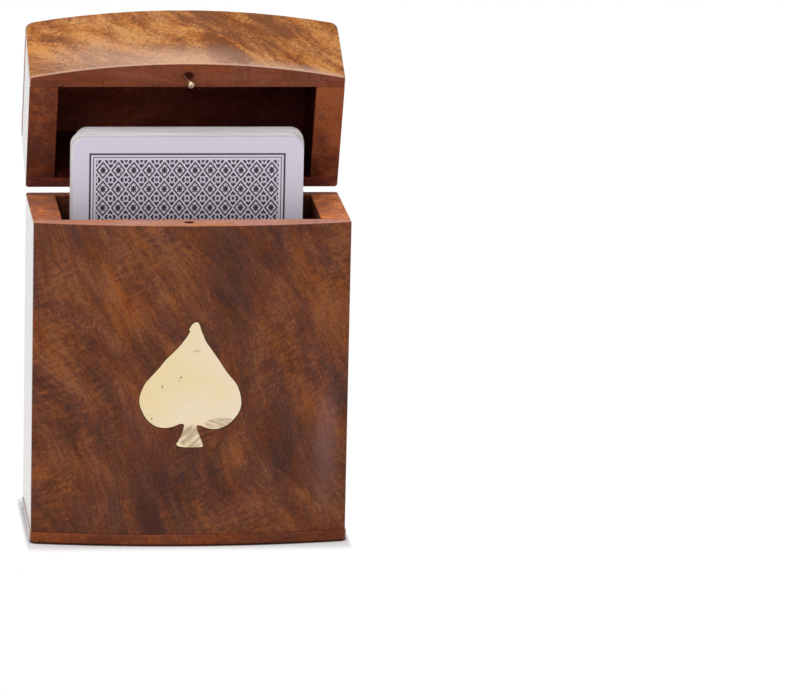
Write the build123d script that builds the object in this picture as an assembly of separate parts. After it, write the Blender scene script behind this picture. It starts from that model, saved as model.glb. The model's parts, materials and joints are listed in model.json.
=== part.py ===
from build123d import *
import math
import os

os.makedirs("parts", exist_ok=True)

# Upright hardwood box for one deck of playing cards, with a hinged lid that stands open.
# Millimetres. +Z is up, the bowed front with the spade faces -Y, and the hinges are on the back.
# The origin is on the underside, midway across the width, and midway between the back and the
# front corners. The box is laid out round the deck, and the lid is drawn closed, then swung open.

# ---- the deck ----
CARD_WIDTH = 57.2
CARD_HEIGHT = 88.9
CARD_THICKNESS = 0.26
CARD_CORNER = 3.2
MIDDLE_COUNT = 27
REAR_COUNT = 26
MIDDLE_SHIFT = 0.4         # how far each packet has slipped to the right of the front card
REAR_SHIFT = 1.3

# ---- room round the deck ----
DECK_LEFT_ROOM = 2.3
DECK_RIGHT_ROOM = 3.6
DECK_REAR_ROOM = 6.5
DECK_STAND_OUT = 19.5      # how far the cards stand above the body's rim
LID_HEADROOM = 0.5
SWING_CLEARANCE = 0.5      # lid's front panel past the deck's top front edge, as it swings

# ---- wood ----
SIDE_WALL = 7.2
FRONT_WALL = 3.0           # at the corners; the bow adds to it in the middle
REAR_WALL = 3.2
FRONT_BOW = 4.2
CORNER_RADIUS = 0.8
RIM_EASE = 0.35
BASE_THICKNESS = 3.0
TOP_THICKNESS = 3.0
PLATE_PROUD = 0.6          # how far base and top stand out past the panels
PLATE_ROUND = 0.9
FLOOR_BLOCK_HEIGHT = 9.6
FLOOR_FIT = 0.1
SEAM_GAP = 0.2             # saw kerf left between the body's rim and the closed lid

# ---- brass spade ----
SPADE_WIDTH = 25.7
SPADE_HEIGHT = 32.4
SPADE_CENTRE_X = -0.5
SPADE_FOOT_Z = 25.1
INLAY_THICKNESS = 1.2

# ---- latch pin ----
LATCH_PIN_RADIUS = 0.8
LATCH_PIN_REACH = 5.8
LATCH_PIN_SEAT = 6.0
LATCH_TIP_ROUND = 0.7
LATCH_PIN_FIT = 0.02
LATCH_CLEARANCE = 0.15
LATCH_HOLE_SPARE = 1.2
COUNTERSINK_RADIUS = 1.3
COUNTERSINK_DEPTH = 0.6

# ---- hinges ----
LID_OPEN_ANGLE = 66.0
HINGE_SPACING = 36.0
HINGE_LENGTH = 18.0
HINGE_SETBACK = 1.0        # axis behind the back face
KNUCKLE_RADIUS = 1.2
MIDDLE_KNUCKLE = 7.0
KNUCKLE_GAP = 0.1
LEAF_HEIGHT = 9.0
LEAF_THICKNESS = 0.7
LEAF_RELIEF = 0.2
MORTISE_DEPTH = 0.4
MORTISE_FIT = 0.1
HINGE_PIN_RADIUS = 0.55
HINGE_PIN_FIT = 0.04
HINGE_PIN_HEAD_RADIUS = 0.85
HINGE_PIN_HEAD = 0.4
HINGE_PIN_HEAD_ROUND = 0.2
STOP_REACH = 3.4
STOP_THICKNESS = 0.7
STOP_GAP = 0.05
NAIL_SPACING = 11.0
NAIL_SHANK_RADIUS = 0.5
NAIL_LENGTH = 2.6
NAIL_HEAD_RADIUS = 1.1
NAIL_HEAD_HEIGHT = 0.5
NAIL_FIT = 0.02

# ---- worked out from the sizes above ----
DECK_THICKNESS = (1 + MIDDLE_COUNT + REAR_COUNT) * CARD_THICKNESS
INNER_WIDTH = DECK_LEFT_ROOM + CARD_WIDTH + REAR_SHIFT + DECK_RIGHT_ROOM
BOX_WIDTH = INNER_WIDTH + 2 * SIDE_WALL

FLOOR_Z = BASE_THICKNESS + FLOOR_BLOCK_HEIGHT
DECK_TOP_Z = FLOOR_Z + CARD_HEIGHT
RIM_Z = DECK_TOP_Z - DECK_STAND_OUT
LID_RIM_Z = RIM_Z + SEAM_GAP
LID_CEILING_Z = DECK_TOP_Z + LID_HEADROOM
HINGE_Z = RIM_Z + SEAM_GAP / 2

# The front room is what lets the lid's front panel swing past the deck's top front edge.
HINGE_TO_DECK_FACE = HINGE_SETBACK + REAR_WALL + DECK_REAR_ROOM + DECK_THICKNESS
DECK_EDGE_RADIUS = math.hypot(HINGE_TO_DECK_FACE, DECK_TOP_Z - HINGE_Z)
DECK_FRONT_ROOM = DECK_EDGE_RADIUS - HINGE_TO_DECK_FACE + SWING_CLEARANCE
INNER_DEPTH = DECK_FRONT_ROOM + DECK_THICKNESS + DECK_REAR_ROOM
BOX_DEPTH = FRONT_WALL + INNER_DEPTH + REAR_WALL

HALF_WIDTH = BOX_WIDTH / 2
HALF_INNER = INNER_WIDTH / 2
BACK_Y = BOX_DEPTH / 2
CORNER_Y = -BOX_DEPTH / 2
BOW_Y = CORNER_Y - FRONT_BOW
INNER_FRONT_Y = CORNER_Y + FRONT_WALL
INNER_BACK_Y = BACK_Y - REAR_WALL
DECK_FACE_Y = INNER_FRONT_Y + DECK_FRONT_ROOM
DECK_X = -HALF_INNER + DECK_LEFT_ROOM + CARD_WIDTH / 2
HINGE_Y = BACK_Y + HINGE_SETBACK
HINGE_XS = {"left": -HINGE_SPACING / 2, "right": HINGE_SPACING / 2}

LATCH_Y = (INNER_FRONT_Y + BOW_Y) / 2
LATCH_ARM = HINGE_Y - LATCH_Y
LATCH_DROP = LATCH_PIN_REACH - SEAM_GAP / 2
LATCH_SWING = math.hypot(LATCH_ARM, LATCH_DROP) - LATCH_ARM   # the tip swings this far forward
LATCH_HOLE_RADIUS = LATCH_PIN_RADIUS + LATCH_SWING / 2 + LATCH_CLEARANCE

LEAF_INNER_Y = -HINGE_SETBACK - MORTISE_DEPTH                 # from the hinge axis
LEAF_OUTER_Y = LEAF_INNER_Y + LEAF_THICKNESS
KNUCKLE_RELIEF = KNUCKLE_RADIUS + LEAF_RELIEF
NAIL_DROP = (LEAF_HEIGHT + KNUCKLE_RELIEF) / 2
NAIL_XS = (-NAIL_SPACING / 2, NAIL_SPACING / 2)


def block(x_low, x_high, y_low, y_high, z_low, z_high):
    """A box between two corners."""
    sizes = (x_high - x_low, y_high - y_low, z_high - z_low)
    middle = ((x_low + x_high) / 2, (y_low + y_high) / 2, (z_low + z_high) / 2)
    return Pos(*middle) * Box(*sizes)


def upright_rod(x, y, z_low, z_high, radius):
    """A rod along Z."""
    return Pos(x, y, (z_low + z_high) / 2) * Cylinder(radius, z_high - z_low)


def rod_along_x(x_low, x_high, radius):
    """A rod along the hinge axis, which passes through the origin here."""
    return Pos((x_low + x_high) / 2, 0, 0) * Rot(0, 90, 0) * Cylinder(radius, x_high - x_low)


def box_plan(grow=0.0):
    """The box seen from above: straight back and sides, a bowed front, rounded corners."""
    half = HALF_WIDTH + grow
    back = BACK_Y + grow
    corner = CORNER_Y - grow
    outline = Curve() + [
        Line((-half, corner), (-half, back)),
        Line((-half, back), (half, back)),
        Line((half, back), (half, corner)),
        ThreePointArc((half, corner), (0, BOW_Y - grow), (-half, corner)),
    ]
    plan = make_face(outline)
    return fillet(plan.vertices(), CORNER_RADIUS + grow)


def prism(plan, z_low, z_high):
    """A plan carried up from one height to another."""
    return Pos(0, 0, z_low) * extrude(plan, z_high - z_low)


def shell(z_low, z_high, rim_z):
    """The four walls in one, as they are before they are told apart, with the rim's edges eased."""
    cavity = block(-HALF_INNER, HALF_INNER, INNER_FRONT_Y, INNER_BACK_Y, z_low, z_high)
    walls = prism(box_plan(), z_low, z_high) - cavity
    rim_edges = walls.edges().filter_by_position(Axis.Z, rim_z, rim_z, inclusive=(True, True))
    return fillet(rim_edges, RIM_EASE)


def panels(walls, z_low, z_high):
    """Front and back run the full width; the sides are butted between them."""
    wide = HALF_WIDTH + PLATE_PROUD
    front = walls & block(-wide, wide, BOW_Y - PLATE_PROUD, INNER_FRONT_Y, z_low, z_high)
    rear = walls & block(-wide, wide, INNER_BACK_Y, BACK_Y + PLATE_PROUD, z_low, z_high)
    left = walls & block(-wide, -HALF_INNER, INNER_FRONT_Y, INNER_BACK_Y, z_low, z_high)
    right = walls & block(HALF_INNER, wide, INNER_FRONT_Y, INNER_BACK_Y, z_low, z_high)
    return {"front": front, "rear": rear, "left": left, "right": right}


def plate(z_low, z_high):
    """The base or the top: a thin plate, a little proud of the walls, with rounded edges."""
    solid = prism(box_plan(PLATE_PROUD), z_low, z_high)
    rounded = solid.edges().filter_by_position(Axis.Z, z_low, z_low, inclusive=(True, True))
    rounded += solid.edges().filter_by_position(Axis.Z, z_high, z_high, inclusive=(True, True))
    return fillet(rounded, PLATE_ROUND)


def spade_face():
    """The spade, cut by hand: its point leans right, and the right lobe sits a little lower."""

    def at(across, up):
        return (across * SPADE_WIDTH / 2, up * SPADE_HEIGHT)

    tip = at(0.106, 1.0)
    left_notch = at(-0.115, 0.187)
    right_notch = at(0.130, 0.175)
    left_lobe = Spline(
        tip, at(-0.07, 0.925), at(-0.243, 0.818), at(-0.486, 0.710), at(-0.726, 0.597),
        at(-0.896, 0.513), at(-0.995, 0.400), at(-0.945, 0.272), at(-0.760, 0.187),
        at(-0.486, 0.154), at(-0.267, 0.172), left_notch,
    )
    right_lobe = Spline(
        right_notch, at(0.354, 0.151), at(0.540, 0.140), at(0.740, 0.160), at(0.923, 0.228),
        at(0.998, 0.338), at(0.955, 0.448), at(0.832, 0.536), at(0.654, 0.632),
        at(0.450, 0.753), at(0.273, 0.855), tip,
    )
    left_foot = at(-0.268, 0.024)
    right_foot = at(0.258, 0.020)
    stem = [
        ThreePointArc(left_notch, at(-0.165, 0.095), left_foot),
        Line(left_foot, at(-0.215, 0.0)),
        Line(at(-0.215, 0.0), at(0.232, 0.0)),
        Line(at(0.232, 0.0), right_foot),
        ThreePointArc(right_foot, at(0.158, 0.095), right_notch),
    ]
    return make_face(Curve() + [left_lobe] + stem + [right_lobe])


def spade_prism(face):
    """The spade's plan run out through the front, from the floor of its pocket."""
    foot = (SPADE_CENTRE_X, BOW_Y + INLAY_THICKNESS, SPADE_FOOT_Z)
    pocket_floor = Plane(foot, x_dir=(1, 0, 0), z_dir=(0, -1, 0))
    return pocket_floor * extrude(face, INLAY_THICKNESS + PLATE_PROUD)


def mortise(x, z_low, z_high):
    """The shallow bed that a hinge leaf lies in."""
    half = HINGE_LENGTH / 2 + MORTISE_FIT
    return block(x - half, x + half, BACK_Y - MORTISE_DEPTH, BACK_Y + PLATE_PROUD, z_low, z_high)


def nail_places(side):
    """Nail axes of both hinges: side is -1 for the leaves on the body, +1 for those on the lid."""
    return [(x + dx, HINGE_Z + side * NAIL_DROP) for x in HINGE_XS.values() for dx in NAIL_XS]


def nail_holes(side):
    """Holes for the nails, in the wood behind the leaves."""
    bed_y = BACK_Y - MORTISE_DEPTH
    depth = NAIL_LENGTH - LEAF_THICKNESS
    hole = Rot(90, 0, 0) * Cylinder(NAIL_SHANK_RADIUS + NAIL_FIT, depth)
    return [Pos(x, bed_y - depth / 2, z) * hole for x, z in nail_places(side)]


def nails(side):
    """Small brass nails with domed heads, driven through the leaves."""
    leaf_y = HINGE_Y + LEAF_OUTER_Y
    shank = Rot(90, 0, 0) * Cylinder(NAIL_SHANK_RADIUS, NAIL_LENGTH)
    dome_radius = (NAIL_HEAD_RADIUS ** 2 + NAIL_HEAD_HEIGHT ** 2) / (2 * NAIL_HEAD_HEIGHT)
    above_leaf = block(-dome_radius, dome_radius, 0, dome_radius, -dome_radius, dome_radius)
    head = (Pos(0, NAIL_HEAD_HEIGHT - dome_radius, 0) * Sphere(dome_radius)) & above_leaf
    nail = head + Pos(0, -NAIL_LENGTH / 2, 0) * shank
    return Compound([(Pos(x, leaf_y, z) * nail).solid() for x, z in nail_places(side)])


def stop_flange(side):
    """The lip behind the knuckles. The two leaves' lips meet when the lid stands open."""
    lip_tilt = LID_OPEN_ANGLE / 2
    half = HINGE_LENGTH / 2
    face_offset = STOP_GAP / 2
    lip = block(-half, half, KNUCKLE_RELIEF, STOP_REACH, face_offset, face_offset + STOP_THICKNESS)
    root = block(-half, half, HINGE_PIN_RADIUS, STOP_REACH, face_offset, face_offset + STOP_THICKNESS)
    joined = lip + (root & knuckle_spans(side, STOP_REACH))
    if side < 0:
        joined = joined.mirror(Plane.XY)
    return Rot(side * lip_tilt, 0, 0) * joined


def knuckle_spans(side, half_height):
    """The stretches of the hinge's length that belong to one leaf's knuckles."""
    inner = MIDDLE_KNUCKLE / 2
    half = HINGE_LENGTH / 2
    if side < 0:
        return block(-inner, inner, -half_height, half_height, -half_height, half_height)
    first = inner + KNUCKLE_GAP
    left = block(-half, -first, -half_height, half_height, -half_height, half_height)
    right = block(first, half, -half_height, half_height, -half_height, half_height)
    return left + right


def leaf(side):
    """One leaf, with its hinge axis on the origin: side is -1 for the body's, +1 for the lid's."""
    half = HINGE_LENGTH / 2
    low, high = sorted((side * KNUCKLE_RELIEF, side * LEAF_HEIGHT))
    flat = block(-half, half, LEAF_INNER_Y, LEAF_OUTER_Y, low, high)
    low, high = sorted((0, side * KNUCKLE_RELIEF))
    tongue = block(-half, half, LEAF_INNER_Y, LEAF_OUTER_Y, low, high)
    barrel = rod_along_x(-half, half, KNUCKLE_RADIUS)
    rolled = (barrel + tongue) & knuckle_spans(side, LEAF_HEIGHT)
    solid = flat + rolled + stop_flange(side)
    solid -= rod_along_x(-half, half, HINGE_PIN_RADIUS + HINGE_PIN_FIT)
    nail_hole = Rot(90, 0, 0) * Cylinder(NAIL_SHANK_RADIUS + NAIL_FIT, LEAF_HEIGHT)
    for x in NAIL_XS:
        solid -= Pos(x, LEAF_INNER_Y, side * NAIL_DROP) * nail_hole
    return solid


def hinge_pin():
    """A plain pin with a small peened head at each end, its axis through the origin."""
    half = HINGE_LENGTH / 2
    pin = rod_along_x(-half - KNUCKLE_GAP, half + KNUCKLE_GAP, HINGE_PIN_RADIUS)
    head_start = half + KNUCKLE_GAP / 2
    head = rod_along_x(head_start, head_start + HINGE_PIN_HEAD, HINGE_PIN_HEAD_RADIUS)
    outer_rim = head.edges().group_by(Axis.X)[-1]
    head = fillet(outer_rim, HINGE_PIN_HEAD_ROUND)
    return pin + head + head.mirror(Plane.YZ)


def latch_pin():
    """A brass pin with a rounded end, set in the lid's front rim and pointing at the body's."""
    top_z = LID_RIM_Z + LATCH_PIN_SEAT
    tip_z = LID_RIM_Z - LATCH_PIN_REACH
    pin = upright_rod(0, LATCH_Y, tip_z, top_z, LATCH_PIN_RADIUS)
    return fillet(pin.edges().group_by(Axis.Z)[0], LATCH_TIP_ROUND)


def packet(count, first_card, shift):
    """A packet of cards, standing on the floor block and squared up."""
    thickness = count * CARD_THICKNESS
    card = RectangleRounded(CARD_WIDTH, CARD_HEIGHT, CARD_CORNER)
    face_y = DECK_FACE_Y + first_card * CARD_THICKNESS
    middle = (DECK_X + shift, face_y, FLOOR_Z + CARD_HEIGHT / 2)
    upright = Plane(middle, x_dir=(1, 0, 0), z_dir=(0, -1, 0))
    return upright * extrude(card, -thickness)


def body_pieces():
    """Everything that stays still."""
    walls = panels(shell(BASE_THICKNESS, RIM_Z, RIM_Z), BASE_THICKNESS, RIM_Z)
    spade = spade_prism(spade_face())
    latch_hole_y = LATCH_Y - LATCH_SWING / 2
    latch_floor_z = RIM_Z - LATCH_PIN_REACH - LATCH_HOLE_SPARE
    latch_hole = upright_rod(0, latch_hole_y, latch_floor_z, RIM_Z, LATCH_HOLE_RADIUS)
    walls["front"] = walls["front"] - spade - latch_hole
    for x in HINGE_XS.values():
        walls["rear"] -= mortise(x, HINGE_Z - LEAF_HEIGHT - MORTISE_FIT, RIM_Z)
    walls["rear"] -= nail_holes(-1)
    floor_x = HALF_INNER - FLOOR_FIT
    floor_front = INNER_FRONT_Y + FLOOR_FIT
    floor_back = INNER_BACK_Y - FLOOR_FIT
    pieces = {f"body_{side}_panel": panel for side, panel in walls.items()}
    pieces["base_plate"] = plate(0, BASE_THICKNESS)
    pieces["floor_block"] = block(-floor_x, floor_x, floor_front, floor_back, BASE_THICKNESS, FLOOR_Z)
    pieces["spade_inlay"] = spade & prism(box_plan(), BASE_THICKNESS, RIM_Z)
    for side, x in HINGE_XS.items():
        at_hinge = Pos(x, HINGE_Y, HINGE_Z)
        pieces[f"hinge_{side}_body_leaf"] = at_hinge * leaf(-1)
        pieces[f"hinge_{side}_pin"] = at_hinge * hinge_pin()
    pieces["body_hinge_nails"] = nails(-1)
    pieces["deck_front_card"] = packet(1, 0, 0)
    pieces["deck_middle_cards"] = packet(MIDDLE_COUNT, 1, MIDDLE_SHIFT)
    pieces["deck_rear_cards"] = packet(REAR_COUNT, 1 + MIDDLE_COUNT, REAR_SHIFT)
    return pieces


def lid_pieces():
    """Everything that swings, drawn with the lid closed."""
    walls = panels(shell(LID_RIM_Z, LID_CEILING_Z, LID_RIM_Z), LID_RIM_Z, LID_CEILING_Z)
    seat_radius = LATCH_PIN_RADIUS + LATCH_PIN_FIT
    seat = upright_rod(0, LATCH_Y, LID_RIM_Z, LID_RIM_Z + LATCH_PIN_SEAT, seat_radius)
    sink_z = LID_RIM_Z + COUNTERSINK_DEPTH
    countersink = upright_rod(0, LATCH_Y, LID_RIM_Z, sink_z, COUNTERSINK_RADIUS)
    walls["front"] = walls["front"] - seat - countersink
    for x in HINGE_XS.values():
        walls["rear"] -= mortise(x, LID_RIM_Z, HINGE_Z + LEAF_HEIGHT + MORTISE_FIT)
    walls["rear"] -= nail_holes(1)
    pieces = {f"lid_{side}_panel": panel for side, panel in walls.items()}
    pieces["lid_top_plate"] = plate(LID_CEILING_Z, LID_CEILING_Z + TOP_THICKNESS)
    pieces["latch_pin"] = latch_pin()
    for side, x in HINGE_XS.items():
        pieces[f"hinge_{side}_lid_leaf"] = Pos(x, HINGE_Y, HINGE_Z) * leaf(1)
    pieces["lid_hinge_nails"] = nails(1)
    return pieces


def swing_open(piece):
    """The lid turned back about the hinge axis, to where the stop flanges meet."""
    hinge_axis = Axis((0, HINGE_Y, HINGE_Z), (1, 0, 0))
    return piece.rotate(hinge_axis, -LID_OPEN_ANGLE)


def main():
    pieces = body_pieces()
    for name, piece in lid_pieces().items():
        pieces[name] = swing_open(piece)
    for name, piece in pieces.items():
        export_step(piece, f"parts/{name}.step")
    print(f"box {BOX_WIDTH:.2f} x {BOX_DEPTH + FRONT_BOW:.2f}, rim at {RIM_Z:.2f}")
    print(f"hinge axis at y {HINGE_Y:.3f}, z {HINGE_Z:.3f}")


main()
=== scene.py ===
import json
import math
import random

import bmesh
import bpy
from mathutils import Euler, Matrix, Vector


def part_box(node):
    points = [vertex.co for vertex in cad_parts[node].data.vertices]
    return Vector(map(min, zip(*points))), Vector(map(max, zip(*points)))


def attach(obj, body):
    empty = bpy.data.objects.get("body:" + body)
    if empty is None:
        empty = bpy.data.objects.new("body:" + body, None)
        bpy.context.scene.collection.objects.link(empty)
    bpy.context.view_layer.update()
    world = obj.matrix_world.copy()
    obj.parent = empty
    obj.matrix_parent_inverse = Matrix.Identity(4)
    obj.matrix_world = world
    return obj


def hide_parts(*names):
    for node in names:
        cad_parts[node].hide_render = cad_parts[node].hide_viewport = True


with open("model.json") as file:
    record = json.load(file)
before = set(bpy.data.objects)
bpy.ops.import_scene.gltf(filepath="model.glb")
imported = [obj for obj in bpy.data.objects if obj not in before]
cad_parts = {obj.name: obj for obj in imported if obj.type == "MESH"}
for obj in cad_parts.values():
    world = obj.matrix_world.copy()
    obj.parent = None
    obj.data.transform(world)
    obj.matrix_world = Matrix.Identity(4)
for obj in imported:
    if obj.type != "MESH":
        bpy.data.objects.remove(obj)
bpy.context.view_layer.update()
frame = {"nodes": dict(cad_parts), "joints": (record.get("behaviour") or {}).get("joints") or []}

# ---- Camera ----
# A long lens on a tripod, a little to the left of the box and above it, so that the left side
# shows as a narrow strip and the lid's front, tipped back, faces half upwards.
camera_azimuth = math.radians(-6.879)
camera_elevation = math.radians(13.881)
camera_roll = math.radians(1.367)
camera_distance = 1.6
camera_target = Vector((0.05257, 0.0, 0.04554))
image_width = 787
lens_in_pixels = 6354.4
sensor_width = 36.0

away = Vector((
    math.sin(camera_azimuth) * math.cos(camera_elevation),
    -math.cos(camera_azimuth) * math.cos(camera_elevation),
    math.sin(camera_elevation),
))


def put_down():
    """Leaves edit mode and deselects everything."""
    if bpy.context.object and bpy.context.object.mode == "EDIT":
        bpy.ops.object.mode_set(mode="OBJECT")
    bpy.ops.object.select_all(action="DESELECT")


def take_up(piece):
    """Only this piece is selected, and it is the active one."""
    put_down()
    piece.select_set(True)
    bpy.context.view_layer.objects.active = piece


put_down()
bpy.ops.object.camera_add(location=camera_target + away * camera_distance)
camera = bpy.context.object
facing = (-away).to_track_quat("-Z", "Y").to_euler()
camera.rotation_euler = (facing.to_matrix() @ Euler((0, 0, camera_roll)).to_matrix()).to_euler()
camera.data.sensor_width = sensor_width
camera.data.lens = sensor_width * lens_in_pixels / image_width
camera.data.clip_start = 0.05
camera.data.clip_end = 20
bpy.context.scene.camera = camera
bpy.context.scene.view_settings.view_transform = "Standard"

# ---- Table and light ----
# A white table top in a white room. Soft light comes from a large panel overhead, with one
# further off beside the camera, so what faces up is about twice as bright as what faces front.
table_half = 3.0
table_white = (0.82, 0.82, 0.83, 1)
plain_white = (1, 1, 1, 1)
room_light = 0.42
near_glow = 0.10
shadow_plan = (0.040, 0.020, 0)
shadow_reach = 0.0065
shadow_squeeze = (8, 1, 1)


def add_node(tree, kind, settings=None, **inputs):
    """A node with its settings made and its inputs filled, from values or from other sockets."""
    made = tree.nodes.new(kind)
    for name, value in (settings or {}).items():
        setattr(made, name, value)
    for name, value in inputs.items():
        by_number = name[0] == "i" and name[1:].isdigit()
        socket = made.inputs[int(name[1:]) if by_number else name.replace("_", " ")]
        if isinstance(value, bpy.types.NodeSocket):
            tree.links.new(value, socket)
        else:
            socket.default_value = value
    return made


def maths(tree, operation, first, second=0.0, third=0.0):
    """The result of one sum on one, two or three values."""
    settings = {"operation": operation}
    return add_node(tree, "ShaderNodeMath", settings, i0=first, i1=second, i2=third).outputs[0]


def vector_maths(tree, operation, first, second=(0, 0, 0), third=(0, 0, 0)):
    """The result of one sum on one, two or three vectors."""
    settings = {"operation": operation}
    made = add_node(tree, "ShaderNodeVectorMath", settings, i0=first, i1=second, i2=third)
    return made.outputs["Value" if operation == "LENGTH" else "Vector"]


def slope(tree, value, low, high, start=0.0, end=1.0, soft=False):
    """Start where the value is below low, end where it is above high, and a slope between them."""
    settings = {"interpolation_type": "SMOOTHSTEP" if soft else "LINEAR"}
    return add_node(tree, "ShaderNodeMapRange", settings, Value=value, From_Min=low, From_Max=high,
                    To_Min=start, To_Max=end).outputs[0]


def mixed(tree, share, first, second, blend="MIX"):
    """A share of the second colour over the first. A colour given by its values has no alpha."""
    first, second = (
        colour if isinstance(colour, bpy.types.NodeSocket) else (*colour, 1) for colour in (first, second))
    settings = {"data_type": "RGBA", "blend_type": blend}
    return add_node(tree, "ShaderNodeMix", settings, i0=share, i6=first, i7=second).outputs[2]


def seen_directly(tree):
    """1 for what the camera sees, straight or in a reflection or through glass, and 0 for light."""
    path = add_node(tree, "ShaderNodeLightPath").outputs
    mirrored = maths(tree, "MAXIMUM", path["Is Glossy Ray"], path["Is Transmission Ray"])
    return maths(tree, "MAXIMUM", path["Is Camera Ray"], mirrored)


world = bpy.data.worlds.new("white_room")
world.use_nodes = True
world.node_tree.nodes.clear()
bpy.context.scene.world = world
sky = world.node_tree
white = add_node(sky, "ShaderNodeBackground", Color=plain_white, Strength=1.0)
ambient = add_node(sky, "ShaderNodeBackground", Color=plain_white, Strength=room_light)
chosen = add_node(sky, "ShaderNodeMixShader", i0=seen_directly(sky), i1=ambient.outputs[0],
                  i2=white.outputs[0])
add_node(sky, "ShaderNodeOutputWorld", Surface=chosen.outputs[0])

table_paint = bpy.data.materials.new("white_table")
table_paint.use_nodes = True
paint = table_paint.node_tree
paint.nodes.clear()
spot = vector_maths(paint, "ABSOLUTE", add_node(paint, "ShaderNodeTexCoord").outputs["Object"])
spot = vector_maths(paint, "MAXIMUM", vector_maths(paint, "SUBTRACT", spot, shadow_plan))
spot = vector_maths(paint, "LENGTH", vector_maths(paint, "MULTIPLY", spot, shadow_squeeze))
clear_of_box = slope(paint, spot, 0.0, shadow_reach, soft=True)
seen = seen_directly(paint)
matt = add_node(paint, "ShaderNodeBsdfDiffuse", Color=table_white)
glow_seen = maths(paint, "MULTIPLY", seen, near_glow)
glow = add_node(paint, "ShaderNodeEmission", Color=plain_white, Strength=glow_seen)
both = add_node(paint, "ShaderNodeAddShader", i0=matt.outputs[0], i1=glow.outputs[0])
far_white = add_node(paint, "ShaderNodeEmission", Color=plain_white, Strength=1.0)
far_seen = maths(paint, "MULTIPLY", seen, clear_of_box)
surface = add_node(paint, "ShaderNodeMixShader", i0=far_seen, i1=both.outputs[0], i2=far_white.outputs[0])
add_node(paint, "ShaderNodeOutputMaterial", Surface=surface.outputs[0])

put_down()
bpy.ops.mesh.primitive_plane_add(size=2 * table_half, location=(0, 0, 0))
table = bpy.context.object
table.name = "table_top"
table.data.materials.append(table_paint)


def soft_light(name, place, aim, size, power, colour):
    """A square panel of soft light, turned towards a point."""
    put_down()
    bpy.ops.object.light_add(type="AREA", location=place)
    panel = bpy.context.object
    panel.name = name
    panel.rotation_euler = (Vector(aim) - Vector(place)).to_track_quat("-Z", "Y").to_euler()
    panel.data.shape = "SQUARE"
    panel.data.size = size
    panel.data.energy = power
    panel.data.color = colour


soft_light("overhead_panel", (-0.1, -0.15, 1.1), (0, 0, 0.05), 0.9, 6.0, (1, 0.985, 0.965))
soft_light("front_panel", (-0.7, -1.5, 0.9), (0, 0, 0.06), 0.7, 6.0, (1, 0.99, 0.98))

# ---- Front board of the box ----
# One piece of figured hardwood, flat behind and bowed in front, sanded and varnished. It runs
# the full width, covers the ends of the side boards, and has a pocket for the brass spade and a
# blind hole in its rim, bored askew, for the nail in the lid.
hinge = frame["joints"][0]
hinge_place = Vector(hinge["pos_m"])
open_turn = math.radians(hinge["range_deg"][1])
swing_open = (Matrix.Translation(hinge_place) @ Matrix.Rotation(-open_turn, 4, "X")
              @ Matrix.Translation(-hinge_place))
swing_shut = swing_open.inverted()

front_low, front_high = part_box("body_front_panel")
rear_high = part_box("body_rear_panel")[1]
half_width = front_high.x
rim_z = front_high.z
corner_y = -rear_high.y
corner_round = 0.0008
rim_ease = 0.00035
smooth_angle = math.radians(30)
nothing = 1e-5


def edit(piece):
    """Only this piece is selected, and open in edit mode with nothing picked in it."""
    take_up(piece)
    bpy.ops.object.mode_set(mode="EDIT")
    bpy.ops.mesh.select_all(action="DESELECT")


def pick(piece, kind, wanted):
    """In edit mode, picks the vertices, edges or faces for which wanted is true."""
    bpy.ops.mesh.select_all(action="DESELECT")
    bpy.context.tool_settings.mesh_select_mode = (kind == "VERT", kind == "EDGE", kind == "FACE")
    mesh = bmesh.from_edit_mesh(piece.data)
    parts = {"VERT": mesh.verts, "EDGE": mesh.edges, "FACE": mesh.faces}[kind]
    for part in parts:
        if wanted(part):
            part.select_set(True)
    bmesh.update_edit_mesh(piece.data)


def finish_piece(piece, name, body, slot, *nodes):
    """Names a finished piece, smooths its curves, and says what it rides on and stands for."""
    take_up(piece)
    piece.name = name
    bpy.ops.object.transform_apply(location=True, rotation=True, scale=True)
    bpy.ops.object.shade_smooth_by_angle(angle=smooth_angle)
    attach(piece, body)
    if nodes:
        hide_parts(*nodes)


def bowed_board(half, back, corner, bow, low, high, strips=72):
    """A board with a flat back and a bowed front: the front is spun as a sheet, then thickened."""
    depth = corner - bow
    radius = (half ** 2 + depth ** 2) / (2 * depth)
    sweep = 2 * math.asin(half / radius)
    put_down()
    upright = (0, math.radians(90), 0)
    middle = (-half, corner + 0.5, (low + high) / 2)
    bpy.ops.mesh.primitive_plane_add(size=1, location=middle, rotation=upright)
    board = bpy.context.object
    board.scale.x = high - low
    bpy.ops.object.transform_apply(location=True, rotation=True, scale=True)
    edit(board)
    pick(board, "VERT", lambda v: v.co.y > corner + nothing)
    bpy.ops.mesh.delete(type="VERT")
    bpy.ops.mesh.select_all(action="SELECT")
    bpy.ops.mesh.spin(steps=strips, angle=sweep, center=(0, bow + radius, 0), axis=(0, 0, -1))
    bpy.ops.mesh.select_all(action="SELECT")
    bpy.ops.mesh.extrude_region_move(TRANSFORM_OT_translate={"value": (0, back - bow, 0)})
    bpy.ops.transform.resize(value=(1, 0, 1), center_override=(0, back, 0))
    bpy.ops.mesh.select_all(action="SELECT")
    bpy.ops.mesh.remove_doubles(threshold=1e-6)
    bpy.ops.mesh.normals_make_consistent(inside=False)
    return board


def round_front_corners(board, half, corner, radius):
    """Rounds the two upright edges at the ends of the bow."""

    def at_corner(edge):
        return all(abs(abs(v.co.x) - half) < nothing and abs(v.co.y - corner) < nothing for v in edge.verts)

    pick(board, "EDGE", at_corner)
    bpy.ops.mesh.bevel(offset=radius, offset_type="WIDTH", segments=5, profile=0.5)


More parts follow.
